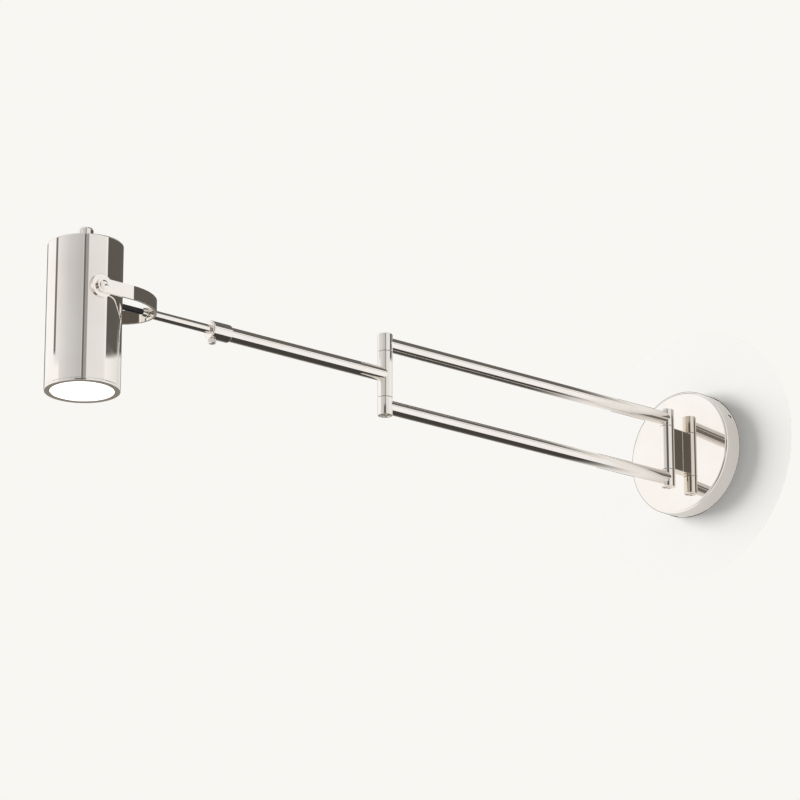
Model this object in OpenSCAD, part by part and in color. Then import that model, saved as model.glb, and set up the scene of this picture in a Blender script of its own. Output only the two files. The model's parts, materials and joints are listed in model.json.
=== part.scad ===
// Swing arm wall sconce: a round canopy, a double-tube inner arm, a single-tube
// outer arm with an extension rod, and a cylindrical spot held in a bent yoke.
// Millimetres. +Z is up, +Y points into the wall, and the origin is the centre of
// the mounting plate's back face, in the plane of the wall.

/* [Canopy] */
// Diameter of the canopy
canopy_d = 127; // [112:1:152]
// Depth of the canopy from the wall to its face
canopy_depth = 20; // [17:0.5:28]
// Wall thickness of the canopy shell
canopy_wall = 1.6; // [1.2:0.1:2.4]
// Radius of the canopy's rounded front edge
canopy_edge_r = 2.6; // [1:0.2:4]

/* [Mounting plate] */
// Distance between the two wall-box screws
box_spacing = 88.9; // [82:0.1:90]
// Width of each slot for a wall-box screw
slot_w = 4.6; // [4:0.1:5.5]
// End-to-end length of each slot
slot_len = 14; // [8:1:16]
// Thickness of the mounting plate
plate_t = 2; // [1.5:0.1:3]
// Gap all round between the mounting plate and the canopy shell
plate_gap = 3.3; // [2:0.1:5]
// Angle of the set screws above the horizontal
set_screw_angle = 26; // [20:1:60]
// Thread diameter of the set screws
set_screw_d = 4; // [3:0.5:5]

/* [Hinges] */
// Distance from the canopy's face to the wall hinge's axis
standoff = 17.5; // [14:0.5:30]
// Outer diameter of the hinge barrels
barrel_d = 14.4; // [14:0.1:18]
// Height of a whole hinge barrel
barrel_h = 81.5; // [78:0.5:96]
// Height of the middle knuckle
knuckle_h = 45.5; // [40:0.5:48]
// Thickness of the nylon washers between knuckles
washer_t = 0.5; // [0.3:0.1:1]
// Outer diameter of the hollow nipples that the hinges turn on
nipple_d = 8; // [7:0.5:9]
// Bore of the hollow nipples
nipple_bore = 5; // [4.5:0.1:5.5]
// Width of the block that carries the wall hinge
block_w = 11; // [9:0.5:13]
// Height of the block that carries the wall hinge
block_h = 43.3; // [38:0.1:44]

/* [Arms] */
// Length of the inner arm between the two hinge axes
inner_len = 372; // [250:1:450]
// Length from the elbow's axis to the centre of the head
outer_len = 353; // [300:1:425]
// Outer diameter of the arm tubes
tube_d = 13.8; // [12:0.1:14]
// Wall thickness of the arm tubes
tube_wall = 1.2; // [0.8:0.1:1.5]
// Distance between the inner arm's two tubes, axis to axis
tube_spacing = 63; // [61:0.5:70]
// Turn of the whole arm from square to the wall
rest_swing = 6; // [0:1:60]

/* [Extension rod] */
// Outer diameter of the extension rod
rod_d = 8.5; // [8:0.1:9.5]
// Wall thickness of the extension rod
rod_wall = 1.2; // [0.8:0.1:1.6]
// Distance from the elbow's axis to the front face of the collar
collar_reach = 212; // [190:1:230]
// Outer diameter of the collar
collar_d = 17; // [16:0.1:20]
// Length of the collar
collar_len = 22; // [18:1:30]
// How far the rod can slide in from where it stands
slide_in = 60; // [20:1:62]
// How far the rod can slide out from where it stands
slide_out = 60; // [20:1:70]
// Diameter of the thumb screw's head
thumb_d = 7.6; // [7:0.1:10]

/* [Yoke] */
// Height of the yoke's band
yoke_h = 13; // [11:0.5:15]
// Thickness of the yoke's band
yoke_t = 2.2; // [1.8:0.1:3]
// Gap between the head and the inside of the yoke's legs
yoke_gap = 1.2; // [1:0.1:3]
// Distance from the head's axis to the back of the yoke
yoke_back = 73.5; // [66:0.5:86]
// Length of the yoke's straight legs behind the head's axis
yoke_leg = 27; // [20:1:30]
// Radius of the yoke's bend at its back
yoke_end_r = 32; // [29:0.5:34]
// Distance of the pivots in front of the head's axis
pivot_forward = 5.5; // [0:0.5:8]
// Diameter of the discs that the head turns on
pivot_disc_d = 22; // [16:0.5:24]

/* [Head] */
// Outer diameter of the head
head_d = 69; // [60:1:76]
// Height of the head above its pivots
head_above = 49; // [44:1:60]
// Depth of the head below its pivots
head_below = 90; // [84:1:108]
// Wall thickness of the head
head_wall = 1.5; // [1.2:0.1:2]
// Width of the bezel's rim around the diffuser
bezel_w = 5.6; // [4:0.1:7]
// Height of the bezel's visible band
bezel_h = 2.5; // [2:0.1:4]
// Diameter of the cable between the yoke and the head
cable_d = 5.4; // [4.5:0.1:6]
// Diameter of the dimmer's knob
knob_d = 13.5; // [13.5:0.1:18]
// Height of the dimmer's knob
knob_h = 16; // [14:0.5:22]

/* [Hidden] */
$fn = 96;

NICKEL = "#dcd6ce";
STEEL = "#b9bab8";
BRASS = "#c7a65a";
NYLON = "#ece9e2";
BLACK = "#17171a";

cut = 1;                    // how far a cutting shape runs past what it cuts
run_gap = 0.05;             // radial clearance of a turning or sliding fit
edge = 0.5;                 // small broken edge on turned pieces
lead_d = 3.6;               // diameter of the two-core lead inside the arms

canopy_r = canopy_d / 2;
plate_r = canopy_r - canopy_wall - plate_gap;
tab_t = 1.8;                // thickness of the plate's two bent tabs
tab_w = 12;
tab_depth = canopy_depth / 2 + 4;
set_screw_len = 9;
set_screw_y = canopy_depth * 0.3;
bush_flange_d = 13;
bush_d = 9;
block_screw_d = 4;
block_screw_z = 14;
block_screw_depth = 9;
screw_head_h = 2.6;

hinge_y = canopy_depth + standoff;
knuckle_half = knuckle_h / 2;
barrel_half = barrel_h / 2;
outer_knuckle_z = knuckle_half + washer_t;
tube_z = tube_spacing / 2;
tube_bore = tube_d - 2 * tube_wall;
nipple_low = knuckle_half - 8.5;
nipple_high = outer_knuckle_z + 2;
wire_way_d = nipple_bore + 1;
cap_d = barrel_d - 3.9;
cap_h = barrel_half - tube_z - lead_d / 2 - 4;
cap_recess = 0.5;

rod_bore = rod_d - 2 * rod_wall;
collar_back = collar_reach - collar_len;
collar_lip = 12;            // length of the collar that guides the rod
tube_end = collar_reach - collar_lip;
rod_bush_len = 12;
slide_spare = 4;
rod_inner = tube_end - rod_bush_len - slide_out - slide_spare;
coil_start = barrel_d / 2 + 8;
coil_d = (tube_bore + rod_d) / 2;
thumb_shank_d = 4;
thumb_head_h = 4.4;
thumb_back = 4;             // from the collar's front face to the thumb screw's axis
thumb_neck = 0.5;

head_r = head_d / 2;
head_inner_r = head_r - head_wall;
yoke_inner = head_r + yoke_gap;
yoke_half = yoke_inner + yoke_t;
bend_depth = yoke_back - yoke_leg;
// radius of the yoke's side bends, tangent to its legs and to its end bend
yoke_side_r = (pow(bend_depth - yoke_end_r, 2) + pow(yoke_half, 2) - pow(yoke_end_r, 2))
    / (2 * (yoke_half - yoke_end_r));
bend_angle = atan2(bend_depth - yoke_end_r, yoke_side_r - yoke_half);
boss_h = 0.5;
boss_d = yoke_h - 1;
stub_d = 7;                 // threaded end of the rod, through the yoke
stub_end = yoke_back - yoke_t - 5.3;
nut_d = 10;
nut_tip = stub_end - 2;
pivot_screw_d = 5;
pivot_head_d = 9;
pivot_head_h = 1.4;

top_t = 2;
bezel_lip = 1.2;
sleeve_t = 1.6;
sleeve_h = 7.5;
diffuser_t = 2.5;
glass_r = head_r - bezel_w;
sink_h = 30;
sink_base = 4;
sink_bottom = -head_below + 45;
fins = 12;
board_t = 1.6;
chip_t = 1.2;
reflector_t = 1;
reflector_top_r = 12;
driver_w = 38;
driver_h = 28;
grommet_d = 8;
dimmer_d = 17;
dimmer_h = 12;
dimmer_bush_d = 7;
dimmer_bush_h = 4.5;
shaft_d = 5.4;
knob_gap = 0.4;
knob_recess_d = 11.9;
knob_recess_h = 5;
knob_top_t = 4;

// ---- places ----
module at_hinge() translate([0, -hinge_y, 0]) rotate([0, 0, -rest_swing]) children();
module at_elbow() at_hinge() translate([0, -inner_len, 0]) children();
module at_head() at_elbow() translate([0, -outer_len, 0]) children();
module both_ends() for (m = [0, 1]) mirror([0, 0, m]) children();
module both_sides() for (m = [0, 1]) mirror([m, 0, 0]) children();
// a solid drawn along +Z is laid along -Y
module forward() rotate([90, 0, 0]) children();
// a solid drawn along +Z is laid along +Y
module backward() rotate([-90, 0, 0]) children();

// ---- shapes ----
module pipe(od, id, h) difference() {
    cylinder(d = od, h = h);
    translate([0, 0, -cut]) cylinder(d = id, h = h + 2 * cut);
}

// half of a round-edged disc's section, rounded at its far outer corner
module dish_section(r, h, e) {
    square([r, h - e]);
    square([r - e, h]);
    translate([r - e, h - e]) circle(e);
}

module turned(r, h, e) rotate_extrude() intersection() {
    dish_section(r, h, e);
    square([r, h]);
}

module slot_shape(len, w) {
    square([len - w, w], center = true);
    for (s = [-1, 1]) translate([s * (len - w) / 2, 0]) circle(d = w);
}

module pan_screw(d, len, head_d, head_h) {
    cylinder(d = d, h = len);
    translate([0, 0, -head_h]) cylinder(d = head_d, h = head_h);
}

// ---- wall side ----
module set_screw_places() for (a = [set_screw_angle, set_screw_angle + 180])
    translate([0, -set_screw_y, 0]) rotate([0, -a, 0]) children();

module mounting_plate() color(STEEL) difference() {
    union() {
        forward() cylinder(r = plate_r, h = plate_t);
        set_screw_places() translate([plate_r - tab_t - 1, set_screw_y - tab_depth, -tab_w / 2])
            cube([tab_t, tab_depth, tab_w]);
    }
    for (s = [-1, 1]) translate([s * box_spacing / 2, cut, 0]) forward()
        linear_extrude(plate_t + 2 * cut) slot_shape(slot_len, slot_w);
    translate([0, cut, 0]) forward() cylinder(d = 30, h = plate_t + 2 * cut);
    translate([0, cut, -plate_r * 0.6]) forward() cylinder(d = 4, h = plate_t + 2 * cut);
    set_screw_places() rotate([0, 90, 0]) cylinder(d = set_screw_d, h = canopy_r);
}

module ground_screw() color("#3f7d4c") translate([0, -plate_t, -plate_r * 0.6])
    backward() pan_screw(4, plate_t, 8, screw_head_h);

module canopy_section() difference() {
    dish_section(canopy_r, canopy_depth, canopy_edge_r);
    translate([0, -cut]) dish_section(canopy_r - canopy_wall, canopy_depth - canopy_wall + cut,
        max(canopy_edge_r - canopy_wall, 0.3));
}

module canopy() color(NICKEL) difference() {
    forward() rotate_extrude($fn = 180) intersection() {
        canopy_section();
        square([canopy_r, canopy_depth]);
    }
    forward() cylinder(d = bush_d, h = canopy_depth + cut);
    for (s = [-1, 1]) translate([0, 0, s * block_screw_z])
        forward() cylinder(d = block_screw_d, h = canopy_depth + cut);
    set_screw_places() rotate([0, 90, 0]) cylinder(d = set_screw_d + 0.6, h = canopy_r + cut);
}

module canopy_set_screws() color(STEEL) set_screw_places()
    translate([canopy_r - 0.8 - set_screw_len, 0, 0]) rotate([0, 90, 0]) difference() {
        cylinder(d = set_screw_d, h = set_screw_len);
        translate([-0.5, -set_screw_d, set_screw_len - 1]) cube([1, 2 * set_screw_d, 1 + cut]);
    }

module block_screws() color(STEEL) for (s = [-1, 1])
    translate([0, -canopy_depth + canopy_wall, s * block_screw_z]) forward()
        pan_screw(block_screw_d, canopy_wall + block_screw_depth, 7.6, screw_head_h);

module feed_bush() color(NYLON) translate([0, -canopy_depth + canopy_wall, 0]) forward()
    difference() {
        union() {
            cylinder(d = bush_d, h = canopy_wall);
            translate([0, 0, -1.5]) cylinder(d = bush_flange_d, h = 1.5);
        }
        translate([0, 0, -2]) cylinder(d = wire_way_d, h = canopy_wall + 3);
    }

// the middle knuckle's outside, and the ways through it
module knuckle_body() translate([0, 0, -knuckle_half]) cylinder(d = barrel_d, h = knuckle_h);
module knuckle_bores() {
    translate([0, 0, -knuckle_half - cut]) cylinder(d = wire_way_d, h = knuckle_h + 2 * cut);
    both_ends() translate([0, 0, nipple_low - 0.5])
        cylinder(d = nipple_d + 2 * run_gap, h = knuckle_h);
}

module hinge_block() color(NICKEL) difference() {
    union() {
        translate([-block_w / 2, -hinge_y, -block_h / 2]) cube([block_w, standoff, block_h]);
        translate([0, -hinge_y, 0]) knuckle_body();
    }
    translate([0, -hinge_y, 0]) knuckle_bores();
    translate([0, -canopy_depth + cut, 0]) forward() cylinder(d = wire_way_d, h = standoff + cut);
    for (s = [-1, 1]) translate([0, -canopy_depth + cut, s * block_screw_z])
        forward() cylinder(d = block_screw_d, h = block_screw_depth + cut);
}

// ---- leads: straight runs with a ball at each corner ----
module lead_corner() sphere(d = lead_d, $fn = 32);
module lead_up(z0, z1) translate([0, 0, z0]) cylinder(d = lead_d, h = z1 - z0, $fn = 32);
module lead_out(len) forward() cylinder(d = lead_d, h = len, $fn = 32);
lead_joint_z = nipple_low + 4;

module supply_lead() color(BLACK) translate([0, -hinge_y, 0]) {
    lead_up(0, lead_joint_z);
    lead_corner();
    translate([0, hinge_y - 8, 0]) lead_out(hinge_y - 8);
}

module inner_arm_lead() color(BLACK) {
    at_hinge() lead_up(lead_joint_z, tube_z);
    at_hinge() translate([0, 0, tube_z]) {
        lead_corner();
        lead_out(inner_len);
    }
    at_elbow() lead_up(lead_joint_z, tube_z);
    at_elbow() translate([0, 0, tube_z]) lead_corner();
}

module outer_arm_lead() color(BLACK) at_elbow() {
    lead_up(0, lead_joint_z);
    lead_corner();
    lead_out(coil_start);
}

module lead_coil() color(BLACK) at_elbow() translate([0, -coil_start, 0]) forward()
    cylinder(d = coil_d, h = rod_inner - coil_start);

module rod_lead() color(BLACK) at_elbow() translate([0, -rod_inner, 0])
    lead_out(outer_len - stub_end - rod_inner);

// ---- hinge pieces shared by the wall hinge and the elbow ----
// an outer knuckle, with its side window towards the tube along dir * Y
module outer_knuckle(dir) difference() {
    translate([0, 0, outer_knuckle_z]) turned(barrel_d / 2, barrel_half - outer_knuckle_z, edge);
    translate([0, 0, outer_knuckle_z - cut]) cylinder(d = nipple_d, h = barrel_h);
    translate([0, 0, nipple_high]) cylinder(d = cap_d, h = barrel_h);
    translate([0, 0, tube_z]) rotate([-90 * dir, 0, 0]) cylinder(d = nipple_d, h = barrel_d);
}

module hinge_nipples() color(BRASS) both_ends() translate([0, 0, nipple_low])
    pipe(nipple_d, nipple_bore, nipple_high - nipple_low);

module hinge_washers() color(NYLON) both_ends() translate([0, 0, knuckle_half])
    pipe(barrel_d - 0.6, nipple_d, washer_t);

module hinge_caps() color(NICKEL) both_ends() translate([0, 0, barrel_half - cap_recess - cap_h])
    difference() {
        cylinder(d = cap_d, h = cap_h);
        translate([-cap_d / 2 - cut, -0.6, cap_h - 0.8]) cube([cap_d + 2 * cut, 1.2, 0.8 + cut]);
    }

module wall_upper_knuckle() color(NICKEL) at_hinge() outer_knuckle(-1);
module wall_lower_knuckle() color(NICKEL) at_hinge() mirror([0, 0, 1]) outer_knuckle(-1);
module wall_hinge_nipples() at_hinge() hinge_nipples();
module wall_hinge_washers() at_hinge() hinge_washers();
module wall_hinge_caps() at_hinge() hinge_caps();
module elbow_upper_knuckle() color(NICKEL) at_elbow() outer_knuckle(1);
module elbow_lower_knuckle() color(NICKEL) at_elbow() mirror([0, 0, 1]) outer_knuckle(1);
module elbow_hinge_nipples() at_elbow() hinge_nipples();
module elbow_hinge_washers() at_elbow() hinge_washers();
module elbow_hinge_caps() at_elbow() hinge_caps();

// ---- arms ----
module barrel_cut() translate([0, 0, -barrel_h]) cylinder(d = barrel_d, h = 2 * barrel_h);

module inner_tube() color(NICKEL) at_hinge() difference() {
    translate([0, 0, tube_z]) forward() pipe(tube_d, tube_bore, inner_len);
    barrel_cut();
    translate([0, -inner_len, 0]) barrel_cut();
}
module upper_arm_tube() inner_tube();
module lower_arm_tube() mirror([0, 0, 1]) inner_tube();

module elbow_knuckle() color(NICKEL) at_elbow() difference() {
    knuckle_body();
    knuckle_bores();
    forward() cylinder(d = nipple_d, h = barrel_d);
}

module outer_arm_tube() color(NICKEL) at_elbow() difference() {
    forward() pipe(tube_d, tube_bore, tube_end);
    barrel_cut();
}

module collar() color(NICKEL) at_elbow() difference() {
    translate([0, -collar_back, 0]) forward() turned(collar_d / 2, collar_len, 2);
    translate([0, cut - collar_back, 0]) forward()
        cylinder(d = tube_d, h = collar_len - collar_lip + cut);
    translate([0, -collar_back, 0]) forward()
        cylinder(d = rod_d + 2 * run_gap, h = collar_len + cut);
    translate([0, thumb_back - collar_reach, -collar_d])
        cylinder(d = thumb_shank_d + 2 * run_gap, h = collar_d);
}

module thumb_screw() color(NICKEL) at_elbow() translate([0, thumb_back - collar_reach, 0]) {
    translate([0, 0, -collar_d / 2 - thumb_neck])
        cylinder(d = thumb_shank_d, h = (collar_d - rod_d) / 2 + thumb_neck - 0.1);
    translate([0, 0, -collar_d / 2 - thumb_neck]) mirror([0, 0, 1])
        turned(thumb_d / 2, thumb_head_h, 0.6);
}

module extension_rod() color(NICKEL) at_head() difference() {
    union() {
        translate([0, yoke_back + boss_h, 0]) backward()
            cylinder(d = rod_d, h = outer_len - rod_inner - yoke_back - boss_h);
        translate([0, stub_end, 0]) backward() cylinder(d = stub_d, h = outer_len - rod_inner - stub_end);
    }
    translate([0, stub_end - cut, 0]) backward() cylinder(d = 4.6, h = outer_len);
    translate([0, yoke_back + 3, 0]) backward() cylinder(d = rod_bore, h = outer_len);
}

module rod_bush() color(BRASS) at_elbow() translate([0, -rod_inner, 0]) forward()
    pipe(tube_bore - 2 * run_gap, rod_d, rod_bush_len);

module yoke_nut() color(NICKEL) at_head() difference() {
    union() {
        translate([0, yoke_back - yoke_t - 3, 0]) backward() cylinder(d = nut_d, h = 3);
        translate([0, nut_tip, 0]) backward()
            cylinder(d1 = cable_d + 1.4, d2 = nut_d - 1, h = yoke_back - yoke_t - 3 - nut_tip);
    }
    translate([0, stub_end, 0]) backward() cylinder(d = stub_d, h = yoke_back);
    translate([0, nut_tip - cut, 0]) backward() cylinder(d = cable_d, h = yoke_back);
}

// ---- yoke ----
// one side of the yoke's plan, t inside its outer face: a straight leg, a side bend
// and half of the end bend, each tangent to the next
function arc_points(cx, cy, r, from, to, steps) = [for (i = [1 : steps])
    let (a = from + (to - from) * i / steps) [cx + r * cos(a), cy + r * sin(a)]];
function yoke_side_line(t) = concat(
    [[yoke_half - t, -pivot_forward - yoke_h], [yoke_half - t, yoke_leg]],
    arc_points(yoke_half - yoke_side_r, yoke_leg, yoke_side_r - t, 0, bend_angle, 12),
    arc_points(0, yoke_back - yoke_end_r, yoke_end_r - t, bend_angle, 90, 16));
function mirrored(points) = [for (i = [len(points) - 2 : -1 : 0]) [-points[i][0], points[i][1]]];
function yoke_line(t) = concat(yoke_side_line(t), mirrored(yoke_side_line(t)));
function reversed(points) = [for (i = [len(points) - 1 : -1 : 0]) points[i]];

// side view of a leg, with its round end
module yoke_side_view() {
    translate([-pivot_forward, 0]) circle(d = yoke_h);
    translate([-pivot_forward, -yoke_h / 2]) square([pivot_forward + yoke_back + 1, yoke_h]);
}

module yoke() color(NICKEL) at_head() difference() {
    union() {
        intersection() {
            translate([0, 0, -yoke_h]) linear_extrude(2 * yoke_h)
                polygon(concat(yoke_line(0), reversed(yoke_line(yoke_t))));
            translate([-yoke_half - 1, 0, 0]) rotate([90, 0, 90]) linear_extrude(2 * yoke_half + 2)
                yoke_side_view();
        }
        translate([0, yoke_back - yoke_t + 0.4, 0]) backward()
            cylinder(d = boss_d, h = yoke_t + boss_h - 0.4);
    }
    translate([-head_d, -pivot_forward, 0]) rotate([0, 90, 0])
        cylinder(d = pivot_screw_d + 2 * run_gap, h = 2 * head_d);
    translate([0, yoke_leg, 0]) backward() cylinder(d = stub_d + 2 * run_gap, h = yoke_back);
    translate([0, yoke_leg, 0]) backward()
        cylinder(d = nut_d + 0.8, h = yoke_back - yoke_t - yoke_leg);
}

module head_cable() color(BLACK) at_head() translate([0, driver_w / 2, 0]) backward()
    cylinder(d = cable_d, h = stub_end - driver_w / 2);

// ---- head ----
module head_housing() color(NICKEL) at_head() difference() {
    translate([0, 0, bezel_h - head_below])
        turned(head_r, head_above + head_below - bezel_h, 1.2, $fn = 180);
    translate([0, 0, -head_below])
        cylinder(r = head_inner_r, h = head_above + head_below - top_t, $fn = 180);
    translate([-head_d, -pivot_forward, 0]) rotate([0, 90, 0])
        cylinder(d = pivot_screw_d, h = 2 * head_d);
    backward() cylinder(d = grommet_d, h = head_d);
    cylinder(d = dimmer_bush_d, h = head_above + cut);
}

module pivot_discs() color(NICKEL) at_head() both_sides() difference() {
    translate([0, -pivot_forward, 0]) rotate([0, 90, 0]) cylinder(d = pivot_disc_d, h = yoke_inner);
    translate([0, 0, -pivot_disc_d]) cylinder(r = head_r, h = 2 * pivot_disc_d, $fn = 180);
    translate([0, -pivot_forward, 0]) rotate([0, 90, 0]) cylinder(d = pivot_screw_d, h = head_d);
}

module pivot_screws() color(NICKEL) at_head() both_sides()
    translate([head_r - 6, -pivot_forward, 0]) rotate([0, 90, 0]) {
        cylinder(d = pivot_screw_d, h = yoke_half - head_r + 6);
        translate([0, 0, yoke_half - head_r + 6]) turned(pivot_head_d / 2, pivot_head_h, 0.8);
    }

module pivot_nuts() color(STEEL) at_head() both_sides() intersection() {
    translate([head_r - 6, -pivot_forward, 0]) rotate([0, 90, 0]) pipe(10, pivot_screw_d, 6);
    translate([0, 0, -10]) cylinder(r = head_inner_r, h = 20, $fn = 180);
}

module cable_grommet() color(BLACK) at_head() difference() {
    union() {
        translate([0, head_inner_r - 1.5, 0]) backward() cylinder(d = grommet_d, h = head_wall + 1.5);
        intersection() {
            translate([0, head_inner_r, 0]) backward() cylinder(d = grommet_d + 3, h = head_wall + 1);
            difference() {
                translate([0, 0, -10]) cylinder(r = head_r + 1, h = 20, $fn = 180);
                translate([0, 0, -11]) cylinder(r = head_r, h = 22, $fn = 180);
            }
        }
    }
    backward() cylinder(d = cable_d, h = head_d);
}

module bezel_ring() color(NICKEL) at_head() translate([0, 0, -head_below]) rotate_extrude($fn = 180)
    difference() {
        union() {
            translate([glass_r, 0]) square([bezel_w, bezel_h]);
            translate([head_inner_r - sleeve_t, 0]) square([sleeve_t, bezel_h + sleeve_h]);
        }
        translate([glass_r - cut, bezel_lip])
            square([head_inner_r - sleeve_t - glass_r + cut, bezel_h + sleeve_h]);
    }

module diffuser() color("#fbfaf6") at_head() translate([0, 0, -head_below]) {
    translate([0, 0, bezel_lip]) cylinder(r = head_inner_r - sleeve_t, h = diffuser_t, $fn = 180);
    translate([0, 0, 0.3]) cylinder(r = glass_r, h = bezel_lip, $fn = 180);
}

module reflector() color("#f2f1ec") at_head() rotate_extrude() polygon([
    [glass_r - 1, bezel_lip + diffuser_t - head_below],
    [glass_r - 1 + reflector_t, bezel_lip + diffuser_t - head_below],
    [reflector_top_r + reflector_t, sink_bottom - board_t],
    [reflector_top_r, sink_bottom - board_t]
]);

module led_chip() color("#e8c95a") at_head() translate([0, 0, sink_bottom - board_t - chip_t])
    cylinder(d = 16, h = chip_t);

module led_board() color("#f4f4f0") at_head() translate([0, 0, sink_bottom - board_t])
    cylinder(d = 48, h = board_t);

module heat_sink() color(STEEL) at_head() translate([0, 0, sink_bottom]) {
    cylinder(r = head_inner_r, h = sink_base, $fn = 180);
    cylinder(d = 24, h = sink_h);
    for (i = [0:fins - 1]) rotate([0, 0, i * 360 / fins])
        translate([10, -0.75, 0]) cube([head_inner_r - 11.5, 1.5, sink_h]);
}

module driver() color("#e9e9e6") at_head() translate([-driver_w / 2, -driver_w / 2, sink_bottom + sink_h])
    cube([driver_w, driver_w, driver_h]);

module dimmer() color("#3c4a63") at_head() translate([0, 0, head_above - top_t]) difference() {
    union() {
        translate([0, 0, -dimmer_h]) cylinder(d = dimmer_d, h = dimmer_h);
        cylinder(d = dimmer_bush_d, h = top_t + dimmer_bush_h);
    }
    translate([0, 0, -dimmer_h / 2]) cylinder(d = shaft_d + 2 * run_gap, h = head_above);
}

module dimmer_nut() color(STEEL) at_head() translate([0, 0, head_above]) difference() {
    cylinder(d = 11.5, h = 2, $fn = 6);
    translate([0, 0, -cut]) cylinder(d = dimmer_bush_d, h = 2 + 2 * cut);
}

module dimmer_shaft() color(BRASS) at_head()
    translate([0, 0, head_above - top_t - dimmer_h / 2 + 0.3])
        cylinder(d = shaft_d, h = top_t + dimmer_h / 2 + knob_gap + knob_h - knob_top_t - 0.3);

module dimmer_knob() color(NICKEL) at_head() translate([0, 0, head_above + knob_gap]) difference() {
    turned(knob_d / 2, knob_h, 2);
    translate([0, 0, -cut]) cylinder(d = knob_recess_d, h = knob_recess_h + cut);
    cylinder(d = shaft_d, h = knob_h - knob_top_t);
}

mounting_plate();
ground_screw();
canopy();
canopy_set_screws();
block_screws();
feed_bush();
hinge_block();
supply_lead();
wall_upper_knuckle();
wall_lower_knuckle();
wall_hinge_nipples();
wall_hinge_washers();
wall_hinge_caps();
upper_arm_tube();
lower_arm_tube();
elbow_upper_knuckle();
elbow_lower_knuckle();
elbow_hinge_nipples();
elbow_hinge_washers();
elbow_hinge_caps();
inner_arm_lead();
elbow_knuckle();
outer_arm_tube();
collar();
outer_arm_lead();
lead_coil();
thumb_screw();
extension_rod();
rod_bush();
yoke_nut();
rod_lead();
yoke();
head_cable();
head_housing();
pivot_discs();
pivot_screws();
pivot_nuts();
cable_grommet();
bezel_ring();
diffuser();
reflector();
led_chip();
led_board();
heat_sink();
driver();
dimmer();
dimmer_nut();
dimmer_shaft();
dimmer_knob();
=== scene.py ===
"""Swing arm wall sconce: finished surfaces around the CAD frame.

Metres. +Z is up and +Y points into the wall. A piece is drawn in millimetres in
one of a few local places, such as the elbow's, and is then laid in the frame.
In a local place +X is to the side of the arm, +Y back towards the wall and +Z up.
"""
import json
import math

import bmesh
import bpy
from bpy.props import FloatProperty, FloatVectorProperty, IntProperty, PointerProperty
from mathutils import Matrix, Vector


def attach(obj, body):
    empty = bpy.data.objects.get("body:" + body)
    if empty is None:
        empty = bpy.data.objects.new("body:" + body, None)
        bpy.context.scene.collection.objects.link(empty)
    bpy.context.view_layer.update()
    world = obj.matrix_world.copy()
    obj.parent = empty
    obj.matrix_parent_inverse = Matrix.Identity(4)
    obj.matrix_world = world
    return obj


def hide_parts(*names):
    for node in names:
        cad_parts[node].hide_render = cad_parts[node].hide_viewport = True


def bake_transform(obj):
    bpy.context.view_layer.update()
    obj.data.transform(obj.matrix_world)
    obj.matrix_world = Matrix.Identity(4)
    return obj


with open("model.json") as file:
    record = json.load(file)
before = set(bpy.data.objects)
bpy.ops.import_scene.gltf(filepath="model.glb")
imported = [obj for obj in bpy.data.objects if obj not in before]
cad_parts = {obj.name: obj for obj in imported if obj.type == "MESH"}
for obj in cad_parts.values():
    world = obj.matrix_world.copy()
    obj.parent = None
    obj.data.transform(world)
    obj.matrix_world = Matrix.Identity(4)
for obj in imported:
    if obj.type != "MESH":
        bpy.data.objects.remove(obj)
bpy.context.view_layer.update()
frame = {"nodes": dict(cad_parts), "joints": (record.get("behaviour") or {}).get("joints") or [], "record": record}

bl_info = {
    "name": "Swing arm wall sconce",
    "version": (1, 0, 0),
    "blender": (4, 5, 0),
    "location": "3D View > Sidebar > Sconce",
    "description": "Builds the finished pieces of a swing arm wall sconce on its CAD frame",
    "category": "Object",
}

MM = 0.001
JOINTS = {joint["name"]: joint for joint in frame["joints"]}


# ---- places, read from the joints ----
FORWARD = Vector(JOINTS["rod_extend"]["axis"]).normalized()
UP = Vector((0, 0, 1))
SIDE = FORWARD.cross(UP)


def arm_place(point):
    """The local place, drawn in millimetres, whose origin is that point of the arm."""
    turn = Matrix((SIDE, -FORWARD, UP)).transposed().to_4x4()
    return Matrix.Translation(point) @ turn @ Matrix.Scale(MM, 4)


AT_WALL = Matrix.Scale(MM, 4)
AT_HINGE = arm_place(Vector(JOINTS["wall_swing"]["pos_m"]))
AT_ELBOW = arm_place(Vector(JOINTS["elbow_swing"]["pos_m"]))
AT_HEAD = arm_place(Vector(JOINTS["yoke_swivel"]["pos_m"]))
TO_FRONT = Matrix.Rotation(math.radians(90), 4, "X")      # lays +Z along -Y
TO_BACK = Matrix.Rotation(math.radians(-90), 4, "X")      # lays +Z along +Y
TO_SIDE = Matrix.Rotation(math.radians(90), 4, "Y")       # lays +Z along +X
UPSIDE_DOWN = Matrix.Scale(-1, 4, UP)
OTHER_SIDE = Matrix.Scale(-1, 4, Vector((1, 0, 0)))


def span(node, place):
    """Lowest and highest corner of a CAD node in a local place, in millimetres."""
    back = place.inverted()
    points = [back @ v.co for v in frame["nodes"][node].data.vertices]
    low = Vector([min(p[i] for p in points) for i in range(3)])
    high = Vector([max(p[i] for p in points) for i in range(3)])
    return low, high


def radius_of(node, place, axis=0):
    """Half the width of a CAD node along a local axis, in millimetres."""
    low, high = span(node, place)
    return (high[axis] - low[axis]) / 2


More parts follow.
